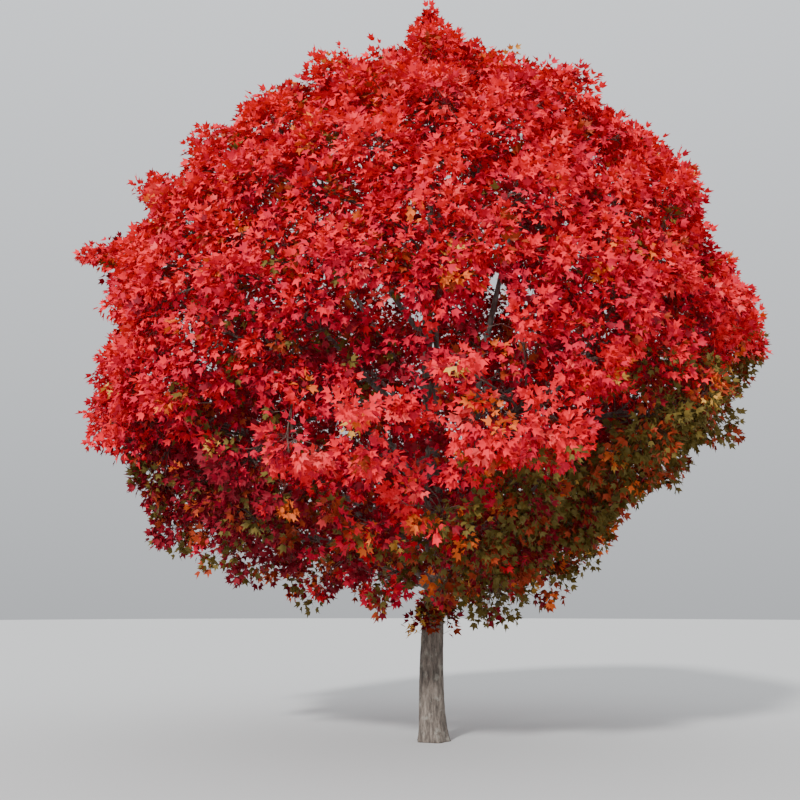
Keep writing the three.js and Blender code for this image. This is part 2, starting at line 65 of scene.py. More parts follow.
# The crown's reach from its axis at each height, on the left and on the right
CROWN_PROFILE = np.array([
    (1.30, 0.80, 0.48),
    (1.60, 1.75, 1.40),
    (2.25, 3.05, 2.10),
    (2.90, 3.55, 2.65),
    (3.40, 3.85, 3.30),
    (4.60, 3.85, 3.80),
    (5.80, 3.60, 3.35),
    (7.00, 2.70, 2.55),
    (8.00, 1.40, 1.25),
    (8.48, 0.42, 0.42),
    (9.10, 0.06, 0.06),
])
CROWN_LOW, CROWN_TOP = CROWN_PROFILE[0, 0], CROWN_PROFILE[-1, 0]
CROWN_MIDDLE = 3.6
SLOPE_STEP = 0.06  # up and down, over which the slope of the crown's surface is measured
AREA_STEP = 0.025  # in height, over which its area is added up
HAIR = 0.001  # by which the lowest of those heights lies inside the crown
SPREAD_JITTER = 0.05  # of places spread over it, in height and in azimuth

# Spurs of foliage: azimuth, height, how far they stand out, and how wide they are
SPURS = [
    (180, 5.75, 0.75, 0.48),
    (184, 6.60, 0.68, 0.44),
    (0, 5.65, 0.42, 0.36),
    (176, 3.90, 0.45, 0.60),
    (2, 4.50, 0.35, 0.65),
]

# Open places in the crown's front, each a middle and a radius
HOLLOWS = [((-0.42, -3.30, 3.69), 0.26), ((0.51, -3.30, 3.76), 0.20), ((-1.21, -3.10, 3.70), 0.18)]

# Narrower ones, which the solids are too coarse for
SMALL_HOLLOWS = [
    ((-0.40, -3.20, 4.02), 0.20),
    ((0.05, -2.95, 2.62), 0.20),
    ((0.12, -2.75, 2.36), 0.26),
    ((0.10, -2.30, 2.00), 0.20),
    ((-1.45, -2.60, 2.30), 0.20),
    ((-0.35, -3.30, 3.05), 0.12),
    ((3.45, -1.10, 4.85), 0.12),
]
HOLLOW_MOUTH = 0.6  # how far each hollow opens outwards
HOLLOW_WIDENING = 1.3  # which leaves room for the leaves beside it

# Trunk and limbs, as in the solids
TRUNK_TIP_HEIGHT = 6.7
TRUNK_BOTTOM_RADIUS = 0.155
TRUNK_TIP_RADIUS = 0.026
FLARE_RADIUS = 0.028
FLARE_HEIGHT = 0.17
ROOT_RIDGES = 5
RIDGE_DEPTH = 0.1  # share of the radius
TRUNK_TAPER = 0.85  # below 1, so that it tapers faster low down
TRUNK_SWAY = 0.045
FORK_HEIGHT = 2.05
STEM_RADIUS = 0.066
STEM_TIP_RADIUS = 0.024
STEM_BOUGHS_FROM = FORK_HEIGHT + 2  # tiers above this have their boughs of the right side on the second stem
STEM_SIDE = 0.35  # the least cosine of those boughs' azimuths
STEM_OFFSET = 0.5  # of the stem from the trunk, where they leave it
BOUGH_RADIUS = 0.046
BOUGH_SHARE = 0.62  # of its carrier's radius, at most
BOUGH_SAG, BOUGH_SWAY = 0.07, 0.07  # shares of its length
BOUGH_ENTRY = 0.1  # how far its tip is inside its mass's own space
LEAST_BOUGH, MOST_BOUGH = 0.35, 0.9  # share of the way to the mass's middle
BOUGH_STEP = 0.02
CORE_DEPTH = 0.52  # of a mass's hub, under the crown's surface
CORE_RANGE = (0.85, 1.4)  # of those depths, as shares of that
HUB_STEP = 0.02
LIMB_RINGS = 40
LIMB_GAP = 0.01  # from the end of a bough to where its own limb goes on
LIMB_KNEE = 0.4  # share of the way from there to its mass's hub over which it keeps its heading
LIMB_TAPER = 0.9  # below 1, so that it tapers faster near its foot
LIMB_END_RADIUS = 0.011

# Bark: plates and furrows drawn out along the limb, with a grain on the plates and a slow swell under them
BARK_STRETCH = 0.22
FURROW_SHARPNESS = 2.2
PLATE_TOP = 0.8  # where the plates are flat
PLATE_SHARE, GRAIN_SHARE, SWELL_SHARE = 0.7, 0.3, 0.9  # of the relief
GRAIN_SCALE = 3.1  # times finer than the plates
SLOW_SWELL = (5, 5, 2.2)
TRUNK_SIDES = 110
TRUNK_SHOWN = 1.7  # the height up to which its bark shows, and its rings are close together
TRUNK_LOW_RINGS, TRUNK_HIGH_RINGS = 110, 60
TRUNK_RING_SPREAD = 1.15  # above 1, so that the rings grow further apart higher up
TRUNK_FINENESS, LIMB_FINENESS = 34, 40  # of the plates
TRUNK_RELIEF, STEM_RELIEF, BOUGH_RELIEF, LEADER_RELIEF = 0.0042, 0.003, 0.0022, 0.0015
RELIEF_FROM = 2  # the height above which the trunk's relief fades
RELIEF_LOSS, LEAST_RELIEF = 0.3, 0.35  # the share that goes with each metre, and the one that stays
FULL_RELIEF_RADIUS = 0.03  # a thinner limb has less
STEM_RINGS, STEM_SIDES = 110, 40
BOUGH_SIDES, LEADER_SIDES = 14, 12
STEM_COLLAR = 0.14  # how far along the stem its collar goes
NO_COLLAR = -1
COLLAR_SWELL, COLLAR_FADE = 0.5, 0.05

# Tiers of masses: name, height, count, first azimuth, share of the crown's reach, slope of the boughs, and
# step from foot to foot
TIERS = [
    ("skirt", 2.38, 5, 52, 0.60, 18, 0.06),
    ("wide", 3.55, 8, 14, 0.66, 25, 0.06),
    ("middle", 4.95, 7, 12, 0.66, 34, 0.11),
    ("upper", 6.35, 5, 6, 0.58, 48, 0.15),
]
AZIMUTH_JITTER = 6  # degrees
HEIGHT_JITTER = 0.13
TOP_CENTRE = np.array([0.0, 0.0, 7.55])
ON_STEM_TIP = "upper_1"

# Puffs: the rounded clumps that the crown's surface is made of
PUFF_COUNT = 280
PUFF_RADIUS = 0.46
PUFF_RANGE = (0.75, 1.25)  # of the radii, as shares of that
PUFF_RISE = 0.30  # how much deeper a puff's edge lies than its middle
BIG_PUFF_RISE = 0.46
PUFF_RIM = 1.3  # in radii: past this a puff falls no further
BIG_PUFF_ROOM = 0.95  # in their radii, how far the others' middles keep off theirs
BIG_PUFF_EDGE = (0.6, 1.6)  # in their radii, over which swell and groove set in around the big ones
PUFF_STEP = 0.30  # how much deeper one puff may lie than another
SWELL = 0.34  # the depth of the slower rise and fall of the crown's surface
SWELL_SCALE = 0.75
SWELL_BIAS = 0.1  # above 0, so that it covers more than half of the crown
PUFF_LIFT = 0.20  # how far the highest puffs' middles stand out of the smooth surface
TOP_LIFT = 0.17  # how much further the clumps behind the peak stand out
SHOULDER_FOOT, SHOULDER_TOP = (7.1, 7.6), (8.7, 8.4)  # the heights at which that sets in and fades out
LIFT_FROM, LEAST_LIFT = -0.6, 0.1  # the depth from which it grows towards the back, and its share in front
SPUR_FADE = 0.9  # how near a spur's tip the puffs begin to flatten

# The box that the tips stay in, which leaves room for their leaves
REACH_LOW, REACH_HIGH = np.array(solid_box) + [[-0.08, -0.06, 1.0], [0.08, 0.06, 0.10]]

# The shaded groove under the overhang of the crown's front, with its half height and half width
GROOVE_HEIGHT = 3.70
GROOVE_BEND = 1.7  # how much lower it lies towards its ends
GROOVE_AZIMUTH = math.radians(-98)
GROOVE_DEPTH = 0.58
GROOVE_HALF_HEIGHT = 0.28
GROOVE_HALF_WIDTH = 0.48
GROOVE_RIPPLE = 0.36  # how far it wanders up and down
GROOVE_RIPPLE_SCALE = 2.0

# Big puffs of the crown's front, and the bumps of its outline: azimuth, height, radius, how far they stand
# out of the smooth surface, and their tone, a painted highlight that is strongest on the sunlit puffs of the
# front
BIG_PUFFS = [
    (-88, 3.78, 0.36, 0.45, 1.0),
    (-113, 3.00, 0.44, 0.40, 0.85),
    (-102, 2.90, 0.34, 0.36, 0.7),
    (-81, 3.05, 0.46, 0.42, 0.9),
    (-70, 3.05, 0.48, 0.38, 0.9),
    (-102, 3.36, 0.38, 0.42, 1.0),
    (-98, 2.50, 0.24, 0.25, 1.0),
    (-131, 3.16, 0.54, -0.36, 0.0),
    (-56, 3.36, 0.42, -0.18, 0.0),
    (-106, 2.58, 0.20, -0.05, 0.1),
    (-51, 7.05, 0.42, 0.25, 0.7),
    (-56, 7.38, 0.36, 0.08, 0.8),
    (-34, 6.10, 0.40, 0.20, 0.6),
    (-25, 4.75, 0.40, 0.10, 0.6),
    (-8, 3.52, 0.40, 0.26, 0.3),
    (-12, 1.85, 0.40, 0.24, 0.3),
    (-9, 1.58, 0.30, 0.26, 0.3),
    (-175, 1.52, 0.36, 0.14, 0.5),
    (-173, 1.95, 0.34, -0.12, 0.2),
    (179, 3.55, 0.38, 0.18, 0.5),
    (-160, 4.80, 0.36, 0.14, 0.6),
]

# Where the leaves turn olive and darker on the lower right, partly their own colour and partly painted shade:
# the edge's distances to the right, and its heights there
OLIVE_EDGE = [(0.6, 1.1, 1.6, 2.9, 4.2), (1.90, 2.50, 3.20, 3.83, 4.25)]

# Patches of orange and gold: azimuth, height and radius
WARM_PATCHES = [
    (-104, 3.04, 0.26), (-81, 3.25, 0.30), (-65, 4.46, 0.26), (-79, 2.33, 0.24),
    (-55, 2.05, 0.26), (-175, 3.85, 0.28), (-172, 2.50, 0.26), (60, 3.90, 0.30), (115, 2.60, 0.30),
]

# Growth: name, how many tips lie near the puffs' surface and between which depths, the same for those deeper
# inside, points on each curve, how far back it forks off, radii at foot and tip, and sides
GROWTH = [
    ("branches", (PUFF_COUNT, 0.26, 0.46), (110, 0.9, 1.7), 8, 0.9, 0.016, 0.006, 5),
    ("twigs", (2200, 0.14, 0.30), (560, 0.45, 1.5), 4, 0.8, 0.0065, 0.003, 3),
    ("shoots", (15000, 0.06, 0.24), (3900, 0.35, 1.35), 2, 0.7, 0.0032, 0.0012, 3),
]
SPARSE_SHARE = 0.4  # of the tips at the crown's foot, which is thinner
SPARSE_BELOW = (2.35, 1.85)  # the heights at which that sets in and is full
LONGEST_SHOOT = 0.34
FIRST_FORK = 0.15  # share of a curve that stays bare of forks
FORK_STRAIGHT = 0.5  # share of its reach for which a curve heads the way of its parent

# Sprigs on the trunk's front, under the crown
SPRIG_COUNT = 22
SPRIG_HEIGHTS = (1.16, 1.50)
SPRIG_TURN = 1.3  # from the front, to either side
SPRIG_RISE = 0.3
SPRIG_ROOT = 0.10  # from the trunk's axis
SPRIG_LENGTHS = (0.20, 0.30)

# Leaves: opposite pairs along the shoot, and a last leaf at its tip
LEAVES_ON_SHOOT = 7
LAST_PAIR = 0.015  # from the tip
PAIR_STEP = 0.045
PAIR_TURN = 0.3  # how far a leaf may be turned out of line with the other of its pair
PAIR_ANGLES, LAST_ANGLES = (0.75, 1.15), (0, 0.3)  # between stalk and shoot
STALK_LENGTHS = (0.035, 0.075)
STALK_HALF_WIDTH = 0.0012
LEAF_LENGTH = 0.090
LEAF_SIZES = (0.75, 1.2)  # as shares of that
LEAF_HANG, LEAF_SCATTER = 0.22, 0.28  # how much the blades point down, and any way
FACE_UP, FACE_OUT, FACE_SCATTER = 0.55, 0.60, 0.42  # how much their upper sides look up, outwards and any way
LEAF_FOLDS, LEAF_DROOPS = (0.1, 0.55), (0.0, 0.22)

# Half of a leaf's outline, from its stalk to its tip: a shoulder, a side lobe and a notch
LEAF_HALF = [(0.04, 0.27), (0.62, 0.50), (0.52, 0.16)]
LEAF_OUTLINE = np.array([(0, 0), *LEAF_HALF, (1, 0), *[(u, -v) for u, v in reversed(LEAF_HALF)]])
LEAF_POINTS = len(LEAF_OUTLINE) + 2  # with the two at the stalk's foot
LEAF_FACES = np.array([
    (0, 3, 1), (1, 3, 2), (0, 4, 3),
    (0, 7, 5), (7, 6, 5), (0, 5, 4),
    (8, 9, 0),
])

LEAF_TINTS = {
    # painted shade: the dark tint put where the crown is shaded
    "shaded_maroon": (0.220, 0.004, 0.014),
    "crimson": (0.600, 0.008, 0.036),
    "scarlet": (0.840, 0.014, 0.032),
    # painted highlight: the pale tint of sunlit leaves
    "coral_highlight": (0.870, 0.060, 0.066),
    "orange": (0.820, 0.150, 0.026),
    "gold": (0.720, 0.370, 0.070),
    "rust": (0.330, 0.040, 0.012),
    "olive": (0.150, 0.105, 0.022),
}
TINT_NAMES = list(LEAF_TINTS)
SHADE_TINTS = ("shaded_maroon", "rust", "olive")

# Where the tints change: the value at which each of these sets in, and the one at which it is full
# Olive and painted shade on the lower right: the leaves' own olive, darkened where the crown is shaded
OLIVE_BELOW = (-0.42, 0.28)  # under the olive edge
OLIVE_RIGHT_OF = (0.0, 0.4)
OLIVE_BACK, OLIVE_FADE, LEAST_OLIVE = 1.9, 1.8, 0.15  # how far back it goes, and its fade and share there
LEFT_SHADE_BELOW, LEFT_SHADE_LEFT_OF = (3.35, 2.75), (-1.35, -1.85)
# Painted shade at the crown's foot, where some olive, orange and gold of its own mix in
FOOT_BELOW = (2.62, 2.27)
# The sunlit top, which gets less painted shade inside and fewer orange and gold patches
SUN_ABOVE = (3.6, 6.0)
# Painted shade deep in the puffs and between them
INNER_SHADE_DEPTHS = (0.10, 0.70)
# Painted light on the lit right side
LIT_RIGHT_OF, LIT_ABOVE, LIT_BELOW = (1.2, 2.2), (3.2, 4.0), (5.6, 5.0)
TRUNK_NEAR, TRUNK_BELOW = (0.75, 0.55), 1.8  # how near the trunk and how low its sprigs are
PATCH_SCALE, DRIFT_SCALE = 2.6, 0.9  # of the noise that makes small patches and blurs the edges
ORANGE_PATCH, GOLD_PATCH = 0.38, 0.45  # above which a spray may turn


# The rule of the crown

class Dice:
    """The same repeatable stream of numbers that the solids are made with."""

    MODULUS, FACTOR, SEED_FACTOR, SEED_SHIFT = 2147483647, 48271, 7919, 12345

    def __init__(self, seed):
        self.state = (seed * self.SEED_FACTOR + self.SEED_SHIFT) % self.MODULUS

    def between(self, low, high):
        """The next number of the stream, between two values."""
        self.state = self.state * self.FACTOR % self.MODULUS
        return low + (high - low) * self.state / self.MODULUS


def unit(vectors):
    """The directions of vectors."""
    return vectors / np.maximum(np.linalg.norm(vectors, axis=-1, keepdims=True), TINY)


def polar(radius, azimuth, height):
    """Points at a distance from the crown's axis, towards an azimuth and at a height."""
    return np.stack(np.broadcast_arrays(radius * np.cos(azimuth), radius * np.sin(azimuth), height), axis=-1)


def apart_from(directions):
    """For each direction, an axis that lies well apart from it."""
    return np.where(np.abs(directions[..., 2:]) > STEEP, np.array([1.0, 0, 0]), UP)


def ramp(values, start, full):
    """How far each value has come from a start, which counts as 0, to where it counts as 1."""
    return np.clip((values - start) / (full - start), 0, 1)


def noise_at(points, scale, shift=(0, 0, 0)):
    """Smooth noise at each point, finer with a larger scale."""
    return np.array([noise.noise(Vector(point) * scale + Vector(shift)) for point in points])


def steps_along(curve):
    """How far along a curve each of its points lies."""
    return np.concatenate([[0], np.cumsum(np.linalg.norm(np.diff(curve, axis=0), axis=1))])


def crown_reach(height, azimuth):
    """How far the crown reaches from its axis at a height, towards an azimuth."""
    left = np.interp(height, CROWN_PROFILE[:, 0], CROWN_PROFILE[:, 1], left=0, right=0)
    right = np.interp(height, CROWN_PROFILE[:, 0], CROWN_PROFILE[:, 2], left=0, right=0)
    around = left + (right - left) * (1 + np.cos(azimuth)) / 2
    extras = []
    for spur_azimuth, spur_height, extra, width in SPURS:
        across = 2 * np.sin((azimuth - math.radians(spur_azimuth)) / 2) * around
        extras.append(extra * np.exp(-(across ** 2 + (height - spur_height) ** 2) / width ** 2))
    return np.where(around > 0, around + np.max(extras, axis=0), 0)


def outward(points):
    """The outward direction of the crown's surface near each point."""
    azimuth = np.arctan2(points[..., 1], points[..., 0])
    height = np.clip(points[..., 2], CROWN_LOW + 2 * SLOPE_STEP, CROWN_TOP - 2 * SLOPE_STEP)
    above, below = crown_reach(height + SLOPE_STEP, azimuth), crown_reach(height - SLOPE_STEP, azimuth)
    slope = (above - below) / (2 * SLOPE_STEP)
    return unit(polar(1.0, azimuth, -slope))


def in_crown(points):
    """Which points are under the crown's surface and in none of its hollows."""
    reach = crown_reach(points[:, 2], np.arctan2(points[:, 1], points[:, 0]))
    inside = np.hypot(points[:, 0], points[:, 1]) <= reach
    for middle, radius in HOLLOWS:
        inside &= np.linalg.norm(points - np.array(middle), axis=1) > radius
    return inside


def in_reach(points):
    """Which points leave room for their leaves within the solids' own height and spread."""
    return np.all((points > REACH_LOW) & (points < REACH_HIGH), axis=1)


def in_hollow_mouth(points):
    """Which points are in a hollow or in front of it."""
    found = np.zeros(len(points), bool)
    for middle, radius in HOLLOWS + SMALL_HOLLOWS:
        middle = np.array(middle)
        way = outward(middle)
        along = np.clip((points - middle) @ way, 0, HOLLOW_MOUTH)
        gap = np.linalg.norm(points - middle - along[:, None] * way, axis=1)
        found |= gap < radius * HOLLOW_WIDENING
    return found


def rising_curve(points):
    """Samples of the smooth curve through points, with the spacing of a centripetal spline."""
    points = [np.array(point, float) for point in points]
    ends = [2 * points[0] - points[1], *points, 2 * points[-1] - points[-2]]
    samples = []
    for before, start, end, after in zip(ends, ends[1:], ends[2:], ends[3:]):
        d0, d1, d2 = (np.linalg.norm(b - a) ** 0.5 for a, b in ((before, start), (start, end), (end, after)))
        leave = ((start - before) / d0 - (end - before) / (d0 + d1) + (end - start) / d1) * d1
        arrive = ((end - start) / d1 - (after - start) / (d1 + d2) + (after - end) / d2) * d1
        for t in np.arange(0, 1, CURVE_STEP):
            cubic = 2 * (start - end) + leave + arrive
            square = 3 * (end - start) - 2 * leave - arrive
            samples.append(start + leave * t + square * t ** 2 + cubic * t ** 3)
    return np.array([*samples, points[-1]])


def at_height(curve, height):
    """The point of a rising curve that lies at a height."""
    return np.array([np.interp(height, curve[:, 2], curve[:, axis]) for axis in range(3)])


def spaced(curve, count):
    """Points at even steps along a curve."""
    lengths = steps_along(curve)
    places = np.linspace(0, lengths[-1], count)
    return np.stack([np.interp(places, lengths, curve[:, axis]) for axis in range(3)], axis=1)


def bent(start, control, end, count=24):
    """A curve from start to end, drawn towards a control point."""
    t = np.linspace(0, 1, count)[:, None]
    return (1 - t) ** 2 * start + 2 * t * (1 - t) * control + t ** 2 * end


trunk_axis = rising_curve([
    (0, 0, 0),
    (-TRUNK_SWAY / 3, 0, 0.7),
    (TRUNK_SWAY, TRUNK_SWAY / 2, FORK_HEIGHT + 0.4),
    (-TRUNK_SWAY, -TRUNK_SWAY, 4.6),
    (TRUNK_SWAY / 2, 0, TRUNK_TIP_HEIGHT),
])
stem_axis = rising_curve([
    at_height(trunk_axis, FORK_HEIGHT),
    (0.33, -0.06, FORK_HEIGHT + 0.7),
    (0.60, 0.02, 4.3),
    (0.95, 0.04, 5.85),
])


def trunk_radius(height, angle):
    """The trunk's radius: a taper, a flare at the ground and ridges that run into the roots."""
    flare = math.exp(-height / FLARE_HEIGHT)
    share = (height / TRUNK_TIP_HEIGHT) ** TRUNK_TAPER
    plain = TRUNK_BOTTOM_RADIUS + (TRUNK_TIP_RADIUS - TRUNK_BOTTOM_RADIUS) * share
    return (plain + FLARE_RADIUS * flare) * (1 + RIDGE_DEPTH * flare * math.cos(ROOT_RIDGES * angle))


def stem_radius(height):
    """The second stem's radius, which tapers evenly from the fork to its tip."""
    top = stem_axis[-1, 2]
    return STEM_RADIUS + (STEM_TIP_RADIUS - STEM_RADIUS) * (height - FORK_HEIGHT) / (top - FORK_HEIGHT)


def place_masses():
    """Every mass of foliage, with the values that set its bough."""
    masses = []
    for number, (name, height, count, start, share, slope, step) in enumerate(TIERS):
        for i in range(count):
            dice = Dice(MASS_SEED * (number + 1) + i)
            azimuth = math.radians(start + 360 * i / count + dice.between(-AZIMUTH_JITTER, AZIMUTH_JITTER))
            middle = height + dice.between(-HEIGHT_JITTER, HEIGHT_JITTER)
            masses.append({
                "name": f"{name}_{i + 1}",
                "tier_height": height,
                "slope": slope,
                "azimuth": azimuth,
                "centre": polar(share * crown_reach(middle, azimuth), azimuth, middle),
                "foot_shift": ((i * 3) % count - (count - 1) / 2) * step,
            })
    masses.append({"name": "top", "centre": TOP_CENTRE})
    return masses


masses = place_masses()
centres = np.array([mass["centre"] for mass in masses])


def margin_in_space(number, point):
    """How far a point is inside a mass's own space."""
    own = centres[number]
    others = np.delete(centres, number, axis=0)
    gaps = np.sum((point - others) ** 2, axis=1) - np.sum((point - own) ** 2)
    return np.min(gaps / (2 * np.linalg.norm(others - own, axis=1)))


def bough_path(number):
    """A bough's curve from its foot to where it enters its mass, and its own and its carrier's radius."""
    mass = masses[number]
    on_stem = mass["tier_height"] > STEM_BOUGHS_FROM and math.cos(mass["azimuth"]) > STEM_SIDE
    out = math.hypot(mass["centre"][0] - (STEM_OFFSET if on_stem else 0), mass["centre"][1])
    height = mass["centre"][2] - out * math.tan(math.radians(mass["slope"])) + mass["foot_shift"]
    foot = at_height(stem_axis if on_stem else trunk_axis, height)
    carrier = stem_radius(height) if on_stem else trunk_radius(height, math.pi / ROOT_RIDGES)
    share, way = LEAST_BOUGH, mass["centre"] - foot
    while share < MOST_BOUGH and margin_in_space(number, foot + way * share) < BOUGH_ENTRY:
        share += BOUGH_STEP
    tip = foot + way * share
    length = np.linalg.norm(tip - foot)
    across = unit(np.cross(tip - foot, UP))
    sway = 2 * Dice(BOUGH_SEED + number).between(-BOUGH_SWAY, BOUGH_SWAY) * length
    control = (foot + tip) / 2 - 2 * BOUGH_SAG * length * UP + sway * across
    return bent(foot, control, tip), min(BOUGH_RADIUS, BOUGH_SHARE * carrier), carrier


def find_hub(number):
    """The middle of a mass, where the solids have their core."""
    mass = masses[number]
    depth = CORE_DEPTH * Dice(CORE_SEED + number).between(*CORE_RANGE)
    aside = unit(mass["centre"] - np.array([0, 0, CROWN_MIDDLE]))
    out = unit(outward(mass["centre"]) + aside)
    hub = mass["centre"].copy()
    while in_crown((hub + out * depth)[None])[0]:
        hub = hub + HUB_STEP * out
    return hub


def height_at_share(shares):
    """The heights under which shares of the crown's surface lie."""
    heights = np.arange(CROWN_LOW, CROWN_TOP, AREA_STEP)
    reach = crown_reach(heights + HAIR, BACK)
    slant = np.hypot(AREA_STEP, crown_reach(heights + AREA_STEP, BACK) - reach)
    area = np.cumsum(reach * slant)
    return np.interp(shares, area / area[-1], heights + AREA_STEP / 2)


def spread(count, rng):
    """Places spread evenly over the crown's surface, with the outward direction at each."""
    height = height_at_share((np.arange(count) + 0.5) / count)
    azimuth = np.arange(count) * GOLDEN_ANGLE + rng.uniform(-SPREAD_JITTER, SPREAD_JITTER, count)
    height = height + rng.uniform(-SPREAD_JITTER, SPREAD_JITTER, count)
    surface = polar(crown_reach(height, azimuth), azimuth, height)
    return surface, outward(surface)


# Puffs, and the tips under their surface

def place_puffs(rng):
    """The puffs' middles on the crown's surface, their radii, how deep they lie, and their tone: random on
    most, and a painted highlight on the big ones.
    """
    surface, _ = spread(PUFF_COUNT, rng)
    radius = PUFF_RADIUS * rng.uniform(*PUFF_RANGE, PUFF_COUNT)
    depth = rng.uniform(0, PUFF_STEP, PUFF_COUNT)
    tone = rng.uniform(0, 1, PUFF_COUNT)
    azimuth, height, big_radius, stand_out, big_tone = np.array(BIG_PUFFS).T
    big = polar(crown_reach(height, np.radians(azimuth)), np.radians(azimuth), height)
    keep = (np.linalg.norm(surface[:, None] - big[None], axis=2) > big_radius * BIG_PUFF_ROOM).all(axis=1)
    return (
        np.concatenate([big, surface[keep]]),
        np.concatenate([big_radius, radius[keep]]),
        np.concatenate([PUFF_LIFT - stand_out, depth[keep]]),
        np.concatenate([big_tone, tone[keep]]),
    )


spur_tips = [
    polar(crown_reach(height, math.radians(azimuth)), math.radians(azimuth), height)
    for azimuth, height, _, _ in SPURS
] + [np.array([0.0, 0.0, CROWN_TOP])]

rng = np.random.RandomState(17)
puff_middles, puff_radii, puff_depths, puff_tones = place_puffs(rng)


def nearest_puff(surface):
    """The nearest puff to each place of the crown's surface, and how far off its middle is, in its radii."""
    nearest, own = np.empty(len(surface), int), np.empty(len(surface))
    for start in range(0, len(surface), BATCH):
        part = slice(start, start + BATCH)
        distance = np.linalg.norm(surface[part, None] - puff_middles[None], axis=2) / puff_radii
        nearest[part], own[part] = distance.argmin(axis=1), distance.min(axis=1)
    return nearest, own


def puff_depth(surface, nearest, own):
    """How deep the puffs' surface lies under the crown's smooth one, at each place of that."""
    big = nearest < len(BIG_PUFFS)
    rise = np.where(big, BIG_PUFF_RISE, PUFF_RISE)
    depths = puff_depths[nearest] + rise * np.minimum(own, PUFF_RIM) ** 2 - PUFF_LIFT
    plain = np.where(big, ramp(own, *BIG_PUFF_EDGE), 1)
    depths += SWELL * np.clip(noise_at(surface, SWELL_SCALE) + SWELL_BIAS, 0, 1) * plain
    turn = np.arctan2(surface[:, 1], surface[:, 0]) - GROOVE_AZIMUTH
    ripple = GROOVE_RIPPLE * noise_at(surface, GROOVE_RIPPLE_SCALE)
    off = (surface[:, 2] - GROOVE_HEIGHT - ripple + GROOVE_BEND * turn ** 2) / GROOVE_HALF_HEIGHT
    depths += GROOVE_DEPTH * np.exp(-off ** 2 - (turn / GROOVE_HALF_WIDTH) ** 4) * plain
    for tip in spur_tips:
        depths *= ramp(np.linalg.norm(surface - tip, axis=1), 0, SPUR_FADE)
    shoulder = ramp(surface[:, 2], *SHOULDER_FOOT) * ramp(surface[:, 2], *SHOULDER_TOP)
    behind = np.clip(surface[:, 1] - LIFT_FROM, LEAST_LIFT, 1)
    return depths - TOP_LIFT * shoulder * behind


def place_tips(count, shallow, deep, rng):
    """Tips under the puffs' surface, at depths between two values, dealt to the nearest masses."""
    surface, out = spread(count, rng)
    nearest, own = nearest_puff(surface)
    depth = rng.uniform(shallow, deep, count) + puff_depth(surface, nearest, own)
    tips = surface - out * depth[:, None]
    sparse = rng.uniform(0, 1, count) < SPARSE_SHARE * ramp(tips[:, 2], *SPARSE_BELOW)
    inside = in_reach(tips) & (in_crown(tips) | (depth < 0)) & ~in_hollow_mouth(tips) & ~sparse
    owner = np.linalg.norm(tips[inside][:, None] - centres[None], axis=2).argmin(axis=1)
    return {
        "tips": tips[inside], "out": out[inside], "owner": owner,
        "depth": depth[inside], "tone": puff_tones[nearest[inside]],
    }


def place_both(outer, inner, rng):
    """Tips near the surface and tips deeper inside, together."""
    sets = [place_tips(*outer, rng), place_tips(*inner, rng)]
    return {key: np.concatenate([each[key] for each in sets]) for key in sets[0]}


# Growing

def grow(parents, parent_owner, tips, owner, points, back):
    """A curve to each tip from the nearest parent curve of the same mass, which it leaves some way back."""
    curves = np.empty((len(tips), points, 3))
    for number in range(len(masses)):
        mine = np.flatnonzero(parent_owner == number)
        wanted = np.flatnonzero(owner == number)
        if not len(mine) or not len(wanted):
            continue
        samples = parents.shape[1]
        tree = kdtree.KDTree(len(mine) * samples)
        for row, parent in enumerate(mine):
            for column in range(samples):
                tree.insert(parents[parent, column], row * samples + column)
        tree.balance()
        for child in wanted:
            _, index, distance = tree.find(tips[child])
            curve = parents[mine[index // samples]]
            place = index % samples
            lengths = steps_along(curve)
            along = max(FIRST_FORK * lengths[-1], lengths[place] - back * distance)
            fork = np.array([np.interp(along, lengths, curve[:, axis]) for axis in range(3)])
            ahead = curve[min(place + 1, samples - 1)] - curve[max(place - 1, 0)]
            reach = np.linalg.norm(tips[child] - fork)
            control = fork + FORK_STRAIGHT * reach * unit(ahead)
            curves[child] = bent(fork, control, tips[child], points)
    return curves


def trunk_sprigs(rng):
    """Short shoots on the front of the trunk, just under the crown, and what is known of their ends."""
    height = rng.uniform(*SPRIG_HEIGHTS, SPRIG_COUNT)
    azimuth = FRONT + rng.uniform(-SPRIG_TURN, SPRIG_TURN, SPRIG_COUNT)
    centre = np.array([at_height(trunk_axis, each) for each in height])
    out = polar(1.0, azimuth, SPRIG_RISE)
    feet = centre + polar(SPRIG_ROOT, azimuth, 0.0)
    tips = centre + out * rng.uniform(*SPRIG_LENGTHS, SPRIG_COUNT)[:, None]
    ends = {
        "tips": tips, "out": out, "owner": np.zeros(SPRIG_COUNT, int),
        "depth": np.zeros(SPRIG_COUNT), "tone": np.zeros(SPRIG_COUNT),
    }
    return np.stack([feet, tips], axis=1), ends


def tubes(curves, foot_radius, tip_radius, sides):
    """Points and triangles of tapering tubes along curves, each drawn to a point at its tip."""
    count, steps, _ = curves.shape
    along = unit(np.gradient(curves, axis=1))
    across = unit(np.cross(apart_from(along), along))
    other = np.cross(along, across)
    angles = 2 * np.pi * np.arange(sides) / sides
    radii = foot_radius + (tip_radius - foot_radius) * np.linspace(0, 1, steps)
    rings = curves[:, :-1, None] + radii[:-1, None, None] * (
        across[:, :-1, None] * np.cos(angles)[:, None] + other[:, :-1, None] * np.sin(angles)[:, None]
    )
    points = np.concatenate([rings.reshape(count, -1, 3), curves[:, -1:]], axis=1)
    faces = []
    for step in range(steps - 2):
        for side in range(sides):
            a, b = step * sides + side, step * sides + (side + 1) % sides
            faces += [(a, b, b + sides), (a, b + sides, a + sides)]
    last, tip = (steps - 2) * sides, (steps - 1) * sides
    faces += [(last + side, last + (side + 1) % sides, tip) for side in range(sides)]
    faces += [(0, side + 1, side) for side in range(1, sides - 1)]
    triangles = np.array(faces)[None] + (np.arange(count) * points.shape[1])[:, None, None]
    return points.reshape(-1, 3), triangles.reshape(-1, 3)


# Leaves

